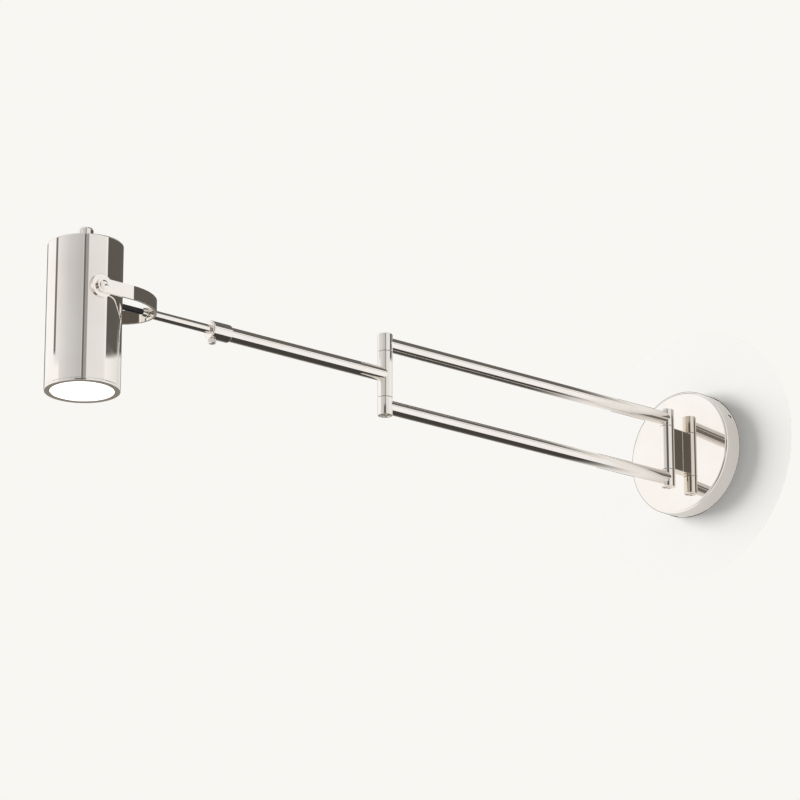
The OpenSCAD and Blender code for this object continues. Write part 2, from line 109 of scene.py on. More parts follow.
CANOPY = span("canopy", AT_WALL)
PLATE = span("mounting_plate", AT_WALL)
BLOCK = span("hinge_block", AT_WALL)
BARREL_R = radius_of("elbow_knuckle", AT_ELBOW)
KNUCKLE_HALF = radius_of("elbow_knuckle", AT_ELBOW, 2)
OUTER_KNUCKLE = span("elbow_upper_knuckle", AT_ELBOW)
CAP = span("elbow_hinge_caps", AT_ELBOW)
UPPER_TUBE = span("upper_arm_tube", AT_HINGE)
OUTER_TUBE = span("outer_arm_tube", AT_ELBOW)
COLLAR = span("collar", AT_ELBOW)
THUMB = span("thumb_screw", AT_ELBOW)
ROD = span("extension_rod", AT_HEAD)
ROD_R = radius_of("extension_rod", AT_HEAD)
YOKE = span("yoke", AT_HEAD)
NUT = span("yoke_nut", AT_HEAD)
CABLE = span("head_cable", AT_HEAD)
HOUSING = span("head_housing", AT_HEAD)
BEZEL = span("bezel_ring", AT_HEAD)
DIFFUSER = span("diffuser", AT_HEAD)
DISCS = span("pivot_discs", AT_HEAD)
SCREWS = span("pivot_screws", AT_HEAD)
GROMMET = span("cable_grommet", AT_HEAD)
KNOB = span("dimmer_knob", AT_HEAD)
PIVOT_Y = (DISCS[0].y + DISCS[1].y) / 2


# ---- colours ----
def linear(hex_colour, alpha=1.0):
    """An sRGB hex colour as linear RGBA."""
    parts = [int(hex_colour[i:i + 2], 16) / 255 for i in (1, 3, 5)]
    shades = [c / 12.92 if c <= 0.04045 else ((c + 0.055) / 1.055) ** 2.4 for c in parts]
    return (*shades, alpha)


# ---- properties ----
def length(name, description, millimetres):
    """A length property in metres, given in millimetres."""
    return FloatProperty(name=name, description=description, default=millimetres * MM,
                         min=0, precision=5, unit="LENGTH", subtype="DISTANCE")


def colour(name, description, hex_colour):
    """A colour property, given as sRGB hex."""
    return FloatVectorProperty(name=name, description=description, size=4, min=0, max=1,
                               default=linear(hex_colour), subtype="COLOR")


class SconceShape(bpy.types.PropertyGroup):
    """Sizes of the details that the finished surfaces add."""
    turned_sides: IntProperty(name="Sides", description="Sides of a turned piece", default=128,
                              min=24, max=512)
    broken_edge: length("Broken edge", "Radius of the small edges on turned pieces", 0.35)
    seam_edge: length("Seam edge", "Radius of the edges on both sides of a seam", 0.22)
    canopy_edge: length("Canopy edge", "Radius of the canopy's rounded front edge", 2.6)
    canopy_wall: length("Canopy wall", "Thickness of the canopy shell", 1.6)
    block_width: length("Block width", "Width of the block that carries the wall hinge", 11)
    block_height: length("Block height", "Height of the block that carries the wall hinge", 43.3)
    block_edge: length("Block edge", "Radius of the block's edges", 0.6)
    slot_width: length("Slot width", "Width of the screwdriver slots", 1.2)
    slot_depth: length("Slot depth", "Depth of the screwdriver slots", 0.8)
    collar_edge: length("Collar edge", "Radius of the collar's front edge", 2.0)
    knurl_depth: length("Knurl depth", "Depth of the thumb screw's knurl", 0.22)
    knurl_teeth: IntProperty(name="Knurl teeth", description="Teeth round the thumb screw",
                             default=26, min=8, max=80)
    yoke_thickness: length("Yoke thickness", "Thickness of the yoke's band", 2.2)
    yoke_height: length("Yoke height", "Height of the yoke's band", 13)
    yoke_leg: length("Yoke leg", "Straight part of a leg behind the head's axis", 27)
    yoke_end_radius: length("Yoke bend", "Radius of the yoke's bend at its back", 32)
    yoke_edge: length("Yoke edge", "Radius of the yoke's long edges", 0.45)
    head_edge: length("Head edge", "Radius of the head's top edge", 1.2)
    bezel_width: length("Bezel width", "Width of the rim round the diffuser", 5.6)
    knob_edge: length("Knob edge", "Radius of the knob's top edge", 2.0)


class SconceColours(bpy.types.PropertyGroup):
    """Colours of the finishes and of the stage."""
    nickel: colour("Nickel", "Polished nickel", "#F6F1EB")
    nickel_haze: colour("Nickel haze", "Polished nickel where it is slightly hazed", "#F1EBE4")
    cable: colour("Cable", "Cable sheath", "#141416")
    opal: colour("Opal", "Opal acrylic", "#FDFCF8")
    glow: colour("Glow", "Light that comes through the opal acrylic", "#FFFCF5")
    backdrop: colour("Backdrop", "Plain backdrop", "#F8F7F3")


class SconceProperties(bpy.types.PropertyGroup):
    """All of the sconce's settings."""
    shape: PointerProperty(type=SconceShape)
    colours: PointerProperty(type=SconceColours)


def shape_mm(name):
    """A length of the shape settings, in millimetres."""
    return getattr(bpy.context.scene.sconce.shape, name) / MM


# ---- nodes and materials ----
GRAIN_LOW, GRAIN_HIGH = 0.3, 0.7     # the range that a cloudy pattern mostly keeps to


def add_node(tree, kind, sockets=None, **settings):
    """Adds a node with its settings; a socket takes a value or another node's output."""
    made = tree.nodes.new(kind)
    for name, value in settings.items():
        setattr(made, name, value)
    for name, value in (sockets or {}).items():
        if isinstance(value, bpy.types.NodeSocket):
            tree.links.new(value, made.inputs[name])
        else:
            made.inputs[name].default_value = value
    return made


def grain(tree, where, size, detail=3.0, stretch=(1, 1, 1)):
    """A cloudy pattern whose grains are that many millimetres across. It is finer along an
    axis whose stretch is over 1."""
    place = add_node(tree, "ShaderNodeMapping", {"Vector": where, "Scale": stretch})
    cloud = add_node(tree, "ShaderNodeTexNoise", {
        "Vector": place.outputs["Vector"], "Scale": 1 / (size * MM), "Detail": detail})
    return cloud.outputs["Fac"]


def start_material(name, **sockets):
    """An empty material with its tree, its shader and its object coordinates. A shader's
    socket is named with _ for each space."""
    material = bpy.data.materials.new(name)
    material.use_nodes = True
    tree = material.node_tree
    tree.nodes.clear()
    values = {socket.replace("_", " "): value for socket, value in sockets.items()}
    shader = add_node(tree, "ShaderNodeBsdfPrincipled", values)
    add_node(tree, "ShaderNodeOutputMaterial", {"Surface": shader.outputs["BSDF"]})
    where = add_node(tree, "ShaderNodeTexCoord").outputs["Object"]
    return material, tree, shader, where


def surface(name, tones, roughness, *grains, glow=None, relief=0.0, **sockets):
    """A material that runs between two tones and two values of roughness, with a relief in
    millimetres and, where it shines, two strengths of glow. One grain drives them all, or
    three drive the tone, the roughness and the relief."""
    material, tree, shader, where = start_material(name, **sockets)
    patterns = [grain(tree, where, **settings) for settings in grains]
    tone, gloss, height = patterns if len(patterns) == 3 else patterns * 3
    mix = add_node(tree, "ShaderNodeMix", {6: tones[0], 7: tones[1]}, data_type="RGBA")
    tree.links.new(mix.outputs[2], shader.inputs["Base Color"])
    runs = [(tone, (0, 1), mix.inputs[0]), (gloss, roughness, shader.inputs["Roughness"])]
    if glow:
        runs.append((tone, glow, shader.inputs["Emission Strength"]))
    for pattern, (low, high), socket in runs:
        run = add_node(tree, "ShaderNodeMapRange", {
            "Value": pattern, "From Min": GRAIN_LOW, "From Max": GRAIN_HIGH,
            "To Min": low, "To Max": high})
        tree.links.new(run.outputs["Result"], socket)
    if relief:
        bump = add_node(tree, "ShaderNodeBump", {"Height": height, "Distance": relief * MM})
        tree.links.new(bump.outputs["Normal"], shader.inputs["Normal"])
    return material


def tones_of(first, second):
    """Two sRGB hex colours as linear tones."""
    return linear(first), linear(second)


def nickel_mirror():
    """Nickel plate, buffed to a mirror: warm reflections with sharp edges, a breath of haze
    and the faint waviness that buffing leaves on drawn tube."""
    colours = bpy.context.scene.sconce.colours
    return surface("nickel_mirror", (tuple(colours.nickel), tuple(colours.nickel_haze)), (0.006, 0.02),
                   {"size": 38}, {"size": 9, "detail": 5}, {"size": 24, "detail": 1},
                   relief=0.012, Metallic=1.0)


def zinc_plate():
    """Bright zinc on pressed steel: a soft blue-grey sheen with a fine mottle."""
    mottle = {"size": 3.5, "detail": 4}
    return surface("zinc_plate", tones_of("#B9BDBE", "#C9CBCA"), (0.28, 0.42),
                   mottle, mottle, {"size": 1.2}, relief=0.02, Metallic=1.0)


def green_passivated():
    """Zinc-plated steel, dyed green to mark the earth screw."""
    return surface("green_passivated", tones_of("#3C7A4B", "#4F8F5C"), (0.3, 0.45),
                   {"size": 1.5}, Metallic=1.0)


def turned_brass():
    """Free-cutting brass from the lathe: yellow, with the tool's fine rings."""
    return surface("turned_brass", tones_of("#D9B866", "#C9A450"), (0.2, 0.34),
                   {"size": 3, "stretch": (1, 1, 8)}, relief=0.01, Metallic=1.0)


def filled_nylon():
    """Graphite-filled nylon, moulded: a dull dark grey that stays quiet in a seam."""
    return surface("filled_nylon", tones_of("#6E6B66", "#7B7873"), (0.45, 0.6), {"size": 0.8}, IOR=1.53)


def natural_nylon():
    """Unfilled nylon, moulded: milky white, faintly mottled."""
    return surface("natural_nylon", tones_of("#E9E5DB", "#F1EEE6"), (0.4, 0.5), {"size": 2}, IOR=1.53)


def pvc_sheath():
    """Extruded PVC cable sheath: satin black with a very fine drawn grain."""
    black = tuple(bpy.context.scene.sconce.colours.cable)
    return surface("pvc_sheath", (black, linear("#1D1D20")), (0.38, 0.5),
                   {"size": 1.2, "detail": 5}, relief=0.02, IOR=1.53)


def matt_rubber():
    """Moulded rubber: matt black with a dry, grey bloom."""
    return surface("matt_rubber", tones_of("#19191A", "#262627"), (0.6, 0.75),
                   {"size": 2.5, "detail": 4}, IOR=1.52)


def satin_acrylic():
    """Opal acrylic with a satin face, lit from behind: bright white that drifts a little."""
    colours = bpy.context.scene.sconce.colours
    return surface("satin_acrylic", (tuple(colours.opal), linear("#F8F7F2")), (0.3, 0.38), {"size": 12},
                   glow=(1.3, 1.4), IOR=1.49, Emission_Color=tuple(colours.glow))


def white_moulding():
    """White polycarbonate, moulded: clean satin white for reflector, board and driver."""
    return surface("white_moulding", tones_of("#EFEFEA", "#F6F6F2"), (0.35, 0.5), {"size": 1.5}, IOR=1.58)


def phosphor_silicone():
    """Yellow phosphor in silicone over the LED dies: grainy, with a wet gloss."""
    return surface("phosphor_silicone", tones_of("#E6C556", "#F0D474"), (0.25, 0.4),
                   {"size": 0.7, "detail": 4}, IOR=1.41)


def cast_aluminium():
    """Die-cast aluminium: pale grey with a dull, pebbled skin."""
    return surface("cast_aluminium", tones_of("#BFC2C4", "#CED0D1"), (0.4, 0.55),
                   {"size": 1.6, "detail": 4}, relief=0.05, Metallic=1.0)


def blue_moulding():
    """Blue nylon housing of the dimmer, moulded with a spark-eroded grain."""
    return surface("blue_moulding", tones_of("#37445C", "#414F69"), (0.45, 0.6), {"size": 0.8}, IOR=1.53)


def pale_paint():
    """Matt emulsion paint, rolled on: pale and even with a faint orange peel."""
    return surface("pale_paint", tones_of("#F4F3EF", "#F2F1ED"), (0.75, 0.85), {"size": 2}, IOR=1.5)


SLOT_FINISH = {
    "polished_nickel": nickel_mirror, "zinc_steel": zinc_plate, "green_steel": green_passivated,
    "brass": turned_brass, "nylon": natural_nylon, "black_cable": pvc_sheath,
    "black_rubber": matt_rubber, "opal_acrylic": satin_acrylic, "white_reflector": white_moulding,
    "led_phosphor": phosphor_silicone, "white_board": white_moulding, "aluminium": cast_aluminium,
    "white_housing": white_moulding, "blue_housing": blue_moulding}


def finish(maker):
    """The material of that maker, made once."""
    return bpy.data.materials.get(maker.__name__) or maker()


# ---- mesh building ----
SHARP = math.radians(32)     # an edge that turns more than this stays sharp


def rounded(corners, steps=5):
    """A line through (x, y, radius) corners, with an arc of that radius at each of them."""
    line = []
    for i, (x, y, radius) in enumerate(corners):
        here = Vector((x, y))
        before = Vector(corners[i - 1][:2]) - here
        after = Vector(corners[(i + 1) % len(corners)][:2]) - here
        if radius <= 0 or before.length == 0 or after.length == 0:
            line.append((x, y))
            continue
        half = before.angle(after) / 2
        reach = min(radius / math.tan(half), before.length * 0.49, after.length * 0.49)
        first = here + before.normalized() * reach
        last = here + after.normalized() * reach
        middle = here + (before.normalized() + after.normalized()).normalized() * (reach / math.cos(half))
        start, end = first - middle, last - middle
        sweep = start.angle_signed(end)
        for step in range(steps + 1):
            part = start.copy()
            part.rotate(Matrix.Rotation(-sweep * step / steps, 2))
            line.append(tuple(middle + part))
    return line


def turned(outline, sides=None, wave=None):
    """A solid turned round +Z from an outline of (radius, height) points. The outline
    either starts and ends on the axis or closes on itself. wave(angle, radius, height)
    gives another radius, for a knurl."""
    sides = sides or bpy.context.scene.sconce.shape.turned_sides
    bm = bmesh.new()
    rings = []
    for radius, height in outline:
        if radius < 1e-6:
            rings.append([bm.verts.new((0, 0, height))])
            continue
        ring = []
        for i in range(sides):
            angle = 2 * math.pi * i / sides
            r = wave(angle, radius, height) if wave else radius
            ring.append(bm.verts.new((r * math.cos(angle), r * math.sin(angle), height)))
        rings.append(ring)
    pairs = list(zip(rings, rings[1:]))
    if len(rings[0]) > 1:
        pairs.append((rings[-1], rings[0]))
    flat_tips = set()
    for a, b in pairs:
        if len(a) == 1 or len(b) == 1:
            tip, ring = (a[0], b) if len(a) == 1 else (b[0], a)
            if abs(tip.co.z - ring[0].co.z) < 1e-6:
                bm.faces.new(ring)
                flat_tips.add(tip)
                continue
            for i in range(sides):
                bm.faces.new((tip, ring[i], ring[(i + 1) % sides]))
            continue
        for i in range(sides):
            j = (i + 1) % sides
            bm.faces.new((a[i], a[j], b[j], b[i]))
    bmesh.ops.delete(bm, geom=list(flat_tips), context="VERTS")
    bmesh.ops.recalc_face_normals(bm, faces=bm.faces)
    return bm


def box(low, high):
    """A box between two corners."""
    bm = bmesh.new()
    bmesh.ops.create_cube(bm, size=1)
    low, high = Vector(low), Vector(high)
    for vert in bm.verts:
        vert.co = Vector([low[i] + (vert.co[i] + 0.5) * (high[i] - low[i]) for i in range(3)])
    return bm


def moved(bm, *matrices):
    """bm moved by the matrices, the last one first."""
    for matrix in reversed(matrices):
        bm.transform(matrix)
        if matrix.determinant() < 0:
            bmesh.ops.reverse_faces(bm, faces=bm.faces)
    return bm


def together(*parts):
    """Several meshes as one, each still its own shell."""
    whole = bmesh.new()
    for bm in parts:
        mesh = bpy.data.meshes.new("part")
        bm.to_mesh(mesh)
        bm.free()
        whole.from_mesh(mesh)
        bpy.data.meshes.remove(mesh)
    return whole


def combined(bm, other, operation):
    """bm with other joined to it or cut from it, as an exact boolean."""
    objects = []
    for part in (bm, other):
        mesh = bpy.data.meshes.new("part")
        part.to_mesh(mesh)
        part.free()
        made = bpy.data.objects.new("part", mesh)
        bpy.context.scene.collection.objects.link(made)
        objects.append(made)
    modifier = objects[0].modifiers.new("boolean", "BOOLEAN")
    modifier.operation, modifier.solver, modifier.object = operation, "EXACT", objects[1]
    bpy.context.view_layer.update()
    shape = objects[0].evaluated_get(bpy.context.evaluated_depsgraph_get())
    result = bmesh.new()
    result.from_mesh(shape.to_mesh())
    shape.to_mesh_clear()
    for made in objects:
        mesh = made.data
        bpy.data.objects.remove(made)
        bpy.data.meshes.remove(mesh)
    return result


def cut(bm, tool):
    """bm with the tool's shape cut from it."""
    return combined(bm, tool, "DIFFERENCE")


def fused(bm, other):
    """bm and other as one closed shell."""
    return combined(bm, other, "UNION")


def piece(name, bm, place, body, slot, nodes=(), edge=0.0):
    """Lays bm in the frame as a piece that rides on a body and stands for CAD nodes.
    An edge radius in millimetres bevels its sharp edges."""
    bm.transform(place)
    mesh = bpy.data.meshes.new(name)
    bm.to_mesh(mesh)
    bm.free()
    mesh.shade_smooth()
    mesh.set_sharp_from_angle(angle=SHARP)
    made = bpy.data.objects.new(name, mesh)
    bpy.context.scene.collection.objects.link(made)
    mesh.materials.append(finish(SLOT_FINISH[slot]))
    if edge:
        bevel = made.modifiers.new("edges", "BEVEL")
        bevel.width = edge * MM
        bevel.segments = 3
        bevel.limit_method = "ANGLE"
        bevel.angle_limit = SHARP
    weighted = made.modifiers.new("normals", "WEIGHTED_NORMAL")
    weighted.keep_sharp = not edge
    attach(made, body)
    if nodes:
        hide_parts(*nodes)
    return made


def nickel_piece(name, bm, place, body, nodes=(), edge=0.0):
    """A piece in polished nickel."""
    return piece(name, bm, place, body, "polished_nickel", nodes=nodes, edge=edge)


# ---- pieces on the wall ----
class SCONCE_OT_canopy(bpy.types.Operator):
    """Builds the canopy: a spun dish with a flat face and a rounded edge"""
    bl_idname = "sconce.canopy"
    bl_label = "Canopy"

    def execute(self, context):
        radius, depth = CANOPY[1].x, -CANOPY[0].y
        wall, edge = shape_mm("canopy_wall"), shape_mm("canopy_edge")
        lip = shape_mm("broken_edge")
        bore = 4.5
        outline = rounded([
            (bore, depth, 0), (radius, depth, edge), (radius, 0, lip),
            (radius - wall, 0, lip), (radius - wall, depth - wall, edge - wall),
            (bore, depth - wall, 0)], steps=8)
        bm = moved(turned(outline, sides=2 * context.scene.sconce.shape.turned_sides), TO_FRONT)
        for hole in set_screw_places():
            bm = cut(bm, moved(turned([(0, 0), (2.3, 0), (2.3, radius + 5), (0, radius + 5)], sides=32),
                               hole))
        nickel_piece("canopy_shell", bm, AT_WALL, "canopy", nodes=("canopy",))
        return {"FINISHED"}


def set_screw_places():
    """Local places of the two set screws: +Z runs out through the canopy's side."""
    low, high = span("canopy_set_screws", AT_WALL)
    angle = math.atan2(high.z, high.x)
    middle = Matrix.Translation((0, (low.y + high.y) / 2, 0))
    return [middle @ Matrix.Rotation(-turn, 4, "Y") @ TO_SIDE for turn in (angle, angle + math.pi)]


class SCONCE_OT_set_screws(bpy.types.Operator):
    """Builds the two hex-socket set screws that hold the canopy on its plate"""
    bl_idname = "sconce.set_screws"
    bl_label = "Set screws"

    def execute(self, context):
        outside, length_mm, radius, socket = CANOPY[1].x - 1.8, 8, 2.0, 1.15
        parts = []
        for hole in set_screw_places():
            screw = turned(rounded([(0, outside - length_mm, 0), (radius, outside - length_mm, 0.4),
                                    (radius, outside, 0.4), (0, outside, 0)]), sides=48)
            tool = turned([(0, outside - 2), (socket, outside - 2), (socket, outside + 1),
                           (0, outside + 1)], sides=6)
            parts.append(moved(cut(screw, tool), hole))
        piece("set_screws", together(*parts), AT_WALL, "canopy", "zinc_steel",
              nodes=("canopy_set_screws",))
        return {"FINISHED"}


class SCONCE_OT_hinge_block(bpy.types.Operator):
    """Builds the block that stands out from the canopy, with the middle knuckle on it"""
    bl_idname = "sconce.hinge_block"
    bl_label = "Hinge block"

    def execute(self, context):
        half_w, half_h = shape_mm("block_width") / 2, shape_mm("block_height") / 2
        axis_y = AT_HINGE.translation.y / MM
        block = box((-half_w, axis_y, -half_h), (half_w, BLOCK[1].y, half_h))
        bmesh.ops.bevel(block, geom=list(block.edges), offset=shape_mm("block_edge"), segments=4,
                        affect="EDGES", profile=0.5)
        barrel = moved(middle_knuckle(), Matrix.Translation((0, axis_y, 0)))
        nickel_piece("hinge_bracket", fused(block, barrel), AT_WALL, "canopy", nodes=("hinge_block",))
        return {"FINISHED"}


# ---- hinges ----
def middle_knuckle():
    """A hinge's middle knuckle, hollow for the lead."""
    seam, bore = shape_mm("seam_edge"), 3
    return turned(rounded([(bore, -KNUCKLE_HALF, 0), (BARREL_R, -KNUCKLE_HALF, seam),
                           (BARREL_R, KNUCKLE_HALF, seam), (bore, KNUCKLE_HALF, 0)]))


def outer_knuckle():
    """A hinge's upper knuckle, with the seat for its cap."""
    low, high = OUTER_KNUCKLE[0].z, OUTER_KNUCKLE[1].z
    cap_r, seat = (CAP[1].x - CAP[0].x) / 2, 2
    return turned(rounded([
        (4, low, 0), (BARREL_R, low, shape_mm("seam_edge")), (BARREL_R, high, 0.5),
        (cap_r, high, 0.2), (cap_r, low + seat, 0), (4, low + seat, 0)]))


def slotted_cap():
    """A hinge's screw cap with its slot."""
    radius, top = (CAP[1].x - CAP[0].x) / 2 - 0.03, CAP[1].z
    thick = 3.5
    cap = turned(rounded([(0, top - thick, 0), (radius, top - thick, 0), (radius, top, 0.3), (0, top, 0)]))
    half, depth = shape_mm("slot_width") / 2, shape_mm("slot_depth")
    return cut(cap, box((-radius - 1, -half, top - depth), (radius + 1, half, top + 1)))


class SCONCE_OT_hinges(bpy.types.Operator):
    """Builds the outer knuckles and the slotted caps of both hinges"""
    bl_idname = "sconce.hinges"
    bl_label = "Hinges"

    def execute(self, context):
        for hinge, place in (("wall", AT_HINGE), ("elbow", AT_ELBOW)):
            nickel_piece(hinge + "_knuckle_top", outer_knuckle(), place, "inner_arm",
                         nodes=(hinge + "_upper_knuckle",))
            nickel_piece(hinge + "_knuckle_bottom", moved(outer_knuckle(), UPSIDE_DOWN), place,
                         "inner_arm", nodes=(hinge + "_lower_knuckle",))
            caps = together(slotted_cap(), moved(slotted_cap(), UPSIDE_DOWN))
            nickel_piece(hinge + "_caps", caps, place, "inner_arm", nodes=(hinge + "_hinge_caps",))
        return {"FINISHED"}


# ---- arms ----
def drawn_tube(near, far, radius, bore):
    """A tube from near to far in front of a local place, open at both ends."""
    return moved(turned([(bore, near), (radius, near), (radius, far), (bore, far)]), TO_FRONT)


class SCONCE_OT_inner_arm(bpy.types.Operator):
    """Builds the two parallel tubes between the wall hinge and the elbow"""
    bl_idname = "sconce.inner_arm"
    bl_label = "Inner arm"

    def execute(self, context):
        height = (UPPER_TUBE[0].z + UPPER_TUBE[1].z) / 2
        radius = (UPPER_TUBE[1].z - UPPER_TUBE[0].z) / 2
        far = (AT_ELBOW.translation - AT_HINGE.translation).length / MM
        inside = 1.8            # mm from a hinge's axis to the tube's end inside the barrel
        for name, side in (("upper_arm_tube", 1), ("lower_arm_tube", -1)):
            tube = moved(drawn_tube(inside, far - inside, radius, radius - 1.2),
                         Matrix.Translation((0, 0, side * height)))
            nickel_piece(name.replace("arm_tube", "tube"), tube, AT_HINGE, "inner_arm", nodes=(name,))
        return {"FINISHED"}


class SCONCE_OT_outer_arm(bpy.types.Operator):
    """Builds the elbow's middle knuckle and the single tube of the outer arm"""
    bl_idname = "sconce.outer_arm"
    bl_label = "Outer arm"

    def execute(self, context):
        radius = OUTER_TUBE[1].z
        far = -OUTER_TUBE[0].y
        tube = drawn_tube(1.8, far, radius, radius - 1.2)
        nickel_piece("outer_tube", tube, AT_ELBOW, "outer_arm", nodes=("outer_arm_tube",))
        nickel_piece("elbow_middle", middle_knuckle(), AT_ELBOW, "outer_arm", nodes=("elbow_knuckle",))
        return {"FINISHED"}


class SCONCE_OT_collar(bpy.types.Operator):
    """Builds the collar on the end of the outer arm"""
    bl_idname = "sconce.collar"
    bl_label = "Collar"

    def execute(self, context):
        back, front, radius = -COLLAR[1].y, -COLLAR[0].y, COLLAR[1].x
        tube_r = OUTER_TUBE[1].z
        bore = ROD_R + 0.06
        lip = 12                # mm of the collar that guides the rod
        outline = rounded([
            (tube_r, back, 0), (radius, back, 0.5), (radius, front, shape_mm("collar_edge")),
            (bore, front, 0.5), (bore, front - lip, 0), (tube_r, front - lip, 0)])
        bm = moved(turned(outline), TO_FRONT)
        nickel_piece("rod_collar", bm, AT_ELBOW, "outer_arm", nodes=("collar",))
        return {"FINISHED"}


class SCONCE_OT_thumb_screw(bpy.types.Operator):
    """Builds the knurled thumb screw that clamps the rod"""
    bl_idname = "sconce.thumb_screw"
    bl_label = "Thumb screw"

    def execute(self, context):
        radius, bottom = (THUMB[1].x - THUMB[0].x) / 2, THUMB[0].z
        head_top = bottom + 4.4
        shape = context.scene.sconce.shape
        depth = shape.knurl_depth / MM

        def knurl(angle, r, height):
            if r < radius - 0.01:
                return r
            return r - depth * abs(math.sin(shape.knurl_teeth * angle / 2)) ** 0.7

        outline = rounded([
            (0, bottom, 0), (radius - 1.1, bottom, 0.3), (radius - 0.5, bottom + 0.35, 0)], steps=3)
        outline = outline[:-1] + [
            (radius - 0.45, bottom + 0.3), (radius, bottom + 0.65), (radius, bottom + 1.6),
            (radius, bottom + 2.8), (radius, head_top - 0.55), (radius - 0.45, head_top - 0.15),
            (radius - 0.6, head_top), (2, head_top), (2, THUMB[1].z - 0.3), (1.7, THUMB[1].z),
            (0, THUMB[1].z)]
        screw = turned(outline, sides=shape.knurl_teeth * 8, wave=knurl)
        axis_y = (THUMB[0].y + THUMB[1].y) / 2
        nickel_piece("clamp_screw", moved(screw, Matrix.Translation((0, axis_y, 0))), AT_ELBOW,
                     "thumb_screw", nodes=("thumb_screw",))
        return {"FINISHED"}


class SCONCE_OT_extension_rod(bpy.types.Operator):
    """Builds the sliding rod between the collar and the yoke"""
    bl_idname = "sconce.extension_rod"
    bl_label = "Extension rod"

    def execute(self, context):
        near, far = YOKE[1].y, ROD[1].y
        stub = 3.5
        outline = rounded([
            (2.4, ROD[0].y, 0), (stub, ROD[0].y, 0.3), (stub, near, 0), (ROD_R, near, 0.25),
            (ROD_R, far, 0.3), (2.4, far, 0)], steps=3)
        nickel_piece("sliding_rod", moved(turned(outline), TO_BACK), AT_HEAD, "rod",
                     nodes=("extension_rod",))
        return {"FINISHED"}


class SCONCE_OT_yoke_nut(bpy.types.Operator):
    """Builds the nut with the cone that the cable leaves by"""
    bl_idname = "sconce.yoke_nut"
    bl_label = "Yoke nut"

    def execute(self, context):
        tip, seat, radius = NUT[0].y, NUT[1].y, (NUT[1].x - NUT[0].x) / 2
        cable_r = (CABLE[1].x - CABLE[0].x) / 2
        outline = rounded([
            (cable_r + 0.05, tip, 0), (cable_r + 0.9, tip, 0.3), (radius - 0.6, seat - 3, 0),
            (radius, seat - 3, 0.3), (radius, seat, 0.2), (cable_r + 0.05, seat, 0)], steps=3)
        nickel_piece("cable_nut", moved(turned(outline), TO_BACK), AT_HEAD, "rod", nodes=("yoke_nut",))
        return {"FINISHED"}


# ---- yoke and head ----
def yoke_route():
    """Stations along one half of the yoke's outer face, from a leg's end to the middle of
    the bend: (x, y, outward normal angle, half height)."""
    half_w, half_h = YOKE[1].x, shape_mm("yoke_height") / 2
    back = span("yoke", AT_HEAD)[1].y - 0.5
    leg, end_r = shape_mm("yoke_leg"), shape_mm("yoke_end_radius")
    depth = back - leg
    side_r = ((depth - end_r) ** 2 + half_w ** 2 - end_r ** 2) / (2 * (half_w - end_r))
    bend = math.atan2(depth - end_r, side_r - half_w)
    stations = []
    round_steps, leg_steps, side_steps, end_steps = 10, 6, 26, 30
    for i in range(round_steps + 1):
        turn = math.pi / 2 * i / round_steps
        stations.append((half_w, PIVOT_Y - half_h * math.cos(turn), 0.0, half_h * math.sin(turn)))
    for i in range(1, leg_steps + 1):
        stations.append((half_w, PIVOT_Y + (leg - PIVOT_Y) * i / leg_steps, 0.0, half_h))
    for i in range(1, side_steps + 1):
        turn = bend * i / side_steps
        stations.append((half_w - side_r + side_r * math.cos(turn), leg + side_r * math.sin(turn),
                         turn, half_h))
    for i in range(1, end_steps + 1):
        turn = bend + (math.pi / 2 - bend) * i / end_steps
        stations.append((end_r * math.cos(turn), back - end_r + end_r * math.sin(turn), turn, half_h))
    return stations


def yoke_band():
    """The bent band with its round leg ends, sharp-edged."""
    thick = shape_mm("yoke_thickness")
    half = yoke_route()
    other = [(-x, y, math.pi - turn, h) for x, y, turn, h in reversed(half[:-1])]
    bm = bmesh.new()
    columns = []
    for x, y, turn, h in half + other:
        normal = Vector((math.cos(turn), math.sin(turn), 0))
        column = []
        for offset in (0, -thick):
            here = Vector((x, y, 0)) + normal * offset
            heights = (h, -h) if h > 1e-6 else (0,)
            column.append([bm.verts.new(here + UP * z) for z in heights])
        columns.append(column)
    for (outer_a, inner_a), (outer_b, inner_b) in zip(columns, columns[1:]):
        for a, b in ((outer_a, outer_b), (inner_a, inner_b)):
            bm.faces.new(dict.fromkeys((a[0], a[-1], b[-1], b[0])))
        for end in (0, -1):
            bm.faces.new((outer_a[end], inner_a[end], inner_b[end], outer_b[end]))
    bmesh.ops.recalc_face_normals(bm, faces=bm.faces)
    return bm


class SCONCE_OT_yoke(bpy.types.Operator):
    """Builds the bent yoke with its boss for the rod"""
    bl_idname = "sconce.yoke"
    bl_label = "Yoke"

    def execute(self, context):
        nickel_piece("yoke_band", yoke_band(), AT_HEAD, "yoke", nodes=("yoke",),
                     edge=shape_mm("yoke_edge"))
        back, radius = YOKE[1].y, 6
        boss = turned(rounded([(ROD_R - 0.4, back - 1.2, 0), (radius, back - 1.2, 0), (radius, back, 0.3),
                               (ROD_R - 0.4, back, 0)]))
        nickel_piece("yoke_boss", moved(boss, TO_BACK), AT_HEAD, "yoke")
        return {"FINISHED"}


